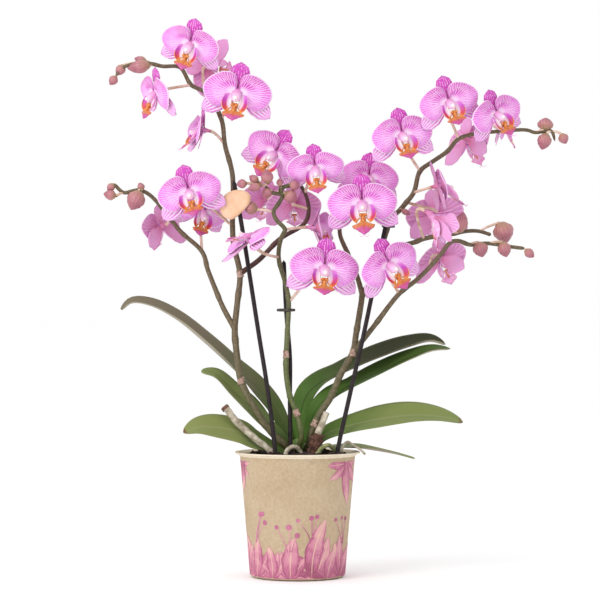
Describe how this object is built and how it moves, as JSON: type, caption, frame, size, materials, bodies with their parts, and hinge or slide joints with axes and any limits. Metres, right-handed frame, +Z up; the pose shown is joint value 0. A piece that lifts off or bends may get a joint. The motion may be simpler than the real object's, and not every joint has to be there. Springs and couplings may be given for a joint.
{
  "type": "potted moth orchid in a paper pot",
  "caption": "Multi-spike pink moth orchid in flower, staked upright in a flared kraft-paper pot of bark, with strap leaves, aerial roots, buds and a bare hanging tag.",
  "frame": {"origin": "centre of the pot's flat base, on the surface that the pot stands on", "axes": "+Z up through the pot, -Y towards the side that most flowers face, +X to the right as seen from that side"},
  "size_m": [0.3719, 0.129, 0.4426],
  "materials": {
    "kraft_paper": "matte",
    "pot_plastic": "matte",
    "bark": "rough",
    "leaf_green": "satin",
    "root_skin": "rough",
    "stake_dark": "satin",
    "stem_skin": "satin",
    "clip_dark": "matte",
    "tag_card": "matte",
    "petal": "satin"
  },
  "bodies": {
    "root": {"paper_pot": "kraft_paper", "grow_pot": "pot_plastic", "bark_mix": "bark", "crown": "leaf_green", "leaf_left_long": "leaf_green", "leaf_left_middle": "leaf_green", "leaf_left_low": "leaf_green", "leaf_right_tall": "leaf_green", "leaf_right_middle": "leaf_green", "leaf_right_broad": "leaf_green", "leaf_right_small": "leaf_green", "root_left_thick": "root_skin", "root_front_arch": "root_skin", "root_pale_stub": "root_skin", "root_green_arch": "root_skin", "root_over_rim": "root_skin", "stake_left": "stake_dark", "stake_centre": "stake_dark", "stake_right": "stake_dark", "spike_left": "stem_skin", "spike_centre": "stem_skin", "spike_right": "stem_skin", "clip_left": "clip_dark", "clip_centre": "clip_dark", "clip_right": "clip_dark", "name_tag": "tag_card", "bloom_left_01": "petal", "bloom_left_02": "petal", "bloom_left_03": "petal", "bloom_left_04": "petal", "bloom_left_05": "petal", "bloom_left_06": "petal", "bloom_left_07": "petal", "bloom_left_08": "petal", "bloom_left_09": "petal", "bloom_left_10": "petal", "bloom_left_11": "petal", "bloom_left_12": "petal", "bloom_centre_01": "petal", "bloom_centre_02": "petal", "bloom_centre_03": "petal", "bloom_right_01": "petal", "bloom_right_02": "petal", "bloom_right_03": "petal", "bloom_right_04": "petal", "bloom_right_05": "petal", "bloom_right_06": "petal", "bloom_right_07": "petal", "bloom_right_08": "petal", "bloom_right_09": "petal", "bloom_right_10": "petal", "bloom_right_11": "petal", "bloom_right_12": "petal"}
  },
  "joints": []
}
